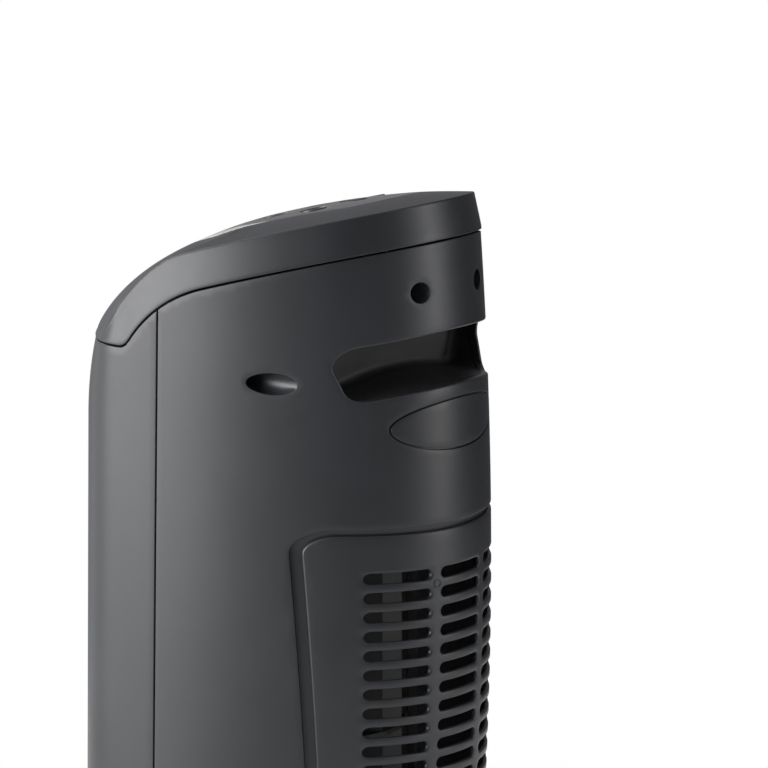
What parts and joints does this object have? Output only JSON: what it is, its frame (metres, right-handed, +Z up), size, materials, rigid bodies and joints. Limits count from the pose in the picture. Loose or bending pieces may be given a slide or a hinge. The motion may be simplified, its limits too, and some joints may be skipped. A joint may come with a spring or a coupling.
{
  "type": "tower heater",
  "caption": "Free-standing oval tower heater that turns on a round base, with a sloped control cap, a rear carry handle, a slotted air inlet and a louvred outlet.",
  "frame": {"origin": "on the floor, under the middle of the round base, on the axis that the tower turns about", "axes": "+Z up along the tower's turning axis, -Y towards the front outlet, +X to the heater's left seen from the front"},
  "size_m": [0.196, 0.196, 0.4093],
  "materials": {
    "charcoal_plastic": "fine textured charcoal moulding",
    "glossy_grey_plastic": "glossy grey moulding",
    "black_plastic": "plain black moulding",
    "silver_plastic": "pale silver lacquered plastic",
    "smoked_lens": "dark see-through plastic, nearly black",
    "rubber": "matte black rubber",
    "steel": "zinc plated steel",
    "aluminium": "bare aluminium fins on ceramic bars",
    "nylon": "natural nylon",
    "circuit_board": "green circuit board"
  },
  "bodies": {
    "base": {"base_shell": "charcoal_plastic", "base_plate": "black_plastic", "foot_back_left": "rubber", "foot_back_right": "rubber", "foot_front_left": "rubber", "foot_front_right": "rubber", "cord_gland": "rubber", "tip_over_switch": "black_plastic", "bearing_ring": "nylon", "fixed_gear": "nylon", "retaining_washer": "steel"},
    "tower": {"tower_floor": "black_plastic", "swing_motor": "steel", "rear_shell": "charcoal_plastic", "front_shell": "charcoal_plastic", "front_grille": "black_plastic", "intake_panel": "charcoal_plastic", "oval_plate": "charcoal_plastic", "handle_pocket": "black_plastic", "upper_screw_left": "steel", "upper_screw_right": "steel", "side_screw_left": "steel", "side_screw_right": "steel", "top_cap": "charcoal_plastic", "panel_trim": "silver_plastic", "control_panel": "glossy_grey_plastic", "display_lens": "smoked_lens", "control_board": "circuit_board", "blower_housing": "black_plastic", "blower_bush": "rubber", "blower_motor": "steel", "heater_frame": "nylon", "heater_element": "aluminium", "thermal_cutout": "steel"},
    "pinion": {"swing_pinion": "nylon"},
    "wheel": {"blower_wheel": "black_plastic", "drive_shaft": "steel"},
    "plunger": {"tip_plunger": "nylon"},
    "power": {"power_button": "black_plastic"},
    "mode": {"mode_button": "black_plastic"},
    "timer": {"timer_button": "black_plastic"},
    "swing": {"swing_button": "black_plastic"},
    "cooler": {"cooler_button": "black_plastic"},
    "warmer": {"warmer_button": "black_plastic"}
  },
  "joints": [
    {"name": "tower_swing", "type": "hinge", "parent": "base", "child": "tower", "pos_m": [0, 0, 0.05], "axis": [0, 0, 1], "range_deg": [-35, 35]},
    {"name": "pinion_turn", "type": "hinge", "parent": "tower", "child": "pinion", "pos_m": [0, 0.036, 0.053], "axis": [0, 0, 1], "range_deg": [-110, 110]},
    {"name": "wheel_spin", "type": "hinge", "parent": "tower", "child": "wheel", "pos_m": [0, 0.012, 0.18], "axis": [0, 0, 1], "continuous": true},
    {"name": "plunger_drop", "type": "slide", "parent": "base", "child": "plunger", "axis": [0, 0, -1], "range_m": [0, 0.004], "stiffness_N_per_m": 50, "springref_m": 0.004},
    {"name": "power_press", "type": "slide", "parent": "tower", "child": "power", "axis": [0, 0.2422, -0.9702], "range_m": [0, 0.001], "stiffness_N_per_m": 300},
    {"name": "mode_press", "type": "slide", "parent": "tower", "child": "mode", "axis": [0, 0.2422, -0.9702], "range_m": [0, 0.001], "stiffness_N_per_m": 300},
    {"name": "timer_press", "type": "slide", "parent": "tower", "child": "timer", "axis": [0, 0.2422, -0.9702], "range_m": [0, 0.001], "stiffness_N_per_m": 300},
    {"name": "swing_press", "type": "slide", "parent": "tower", "child": "swing", "axis": [0, 0.2422, -0.9702], "range_m": [0, 0.001], "stiffness_N_per_m": 300},
    {"name": "cooler_press", "type": "slide", "parent": "tower", "child": "cooler", "axis": [0, 0.2422, -0.9702], "range_m": [0, 0.001], "stiffness_N_per_m": 300},
    {"name": "warmer_press", "type": "slide", "parent": "tower", "child": "warmer", "axis": [0, 0.2422, -0.9702], "range_m": [0, 0.001], "stiffness_N_per_m": 300}
  ],
  "couplings": [
    {"joint": "pinion_turn", "follows": "tower_swing", "ratio": 3}
  ]
}
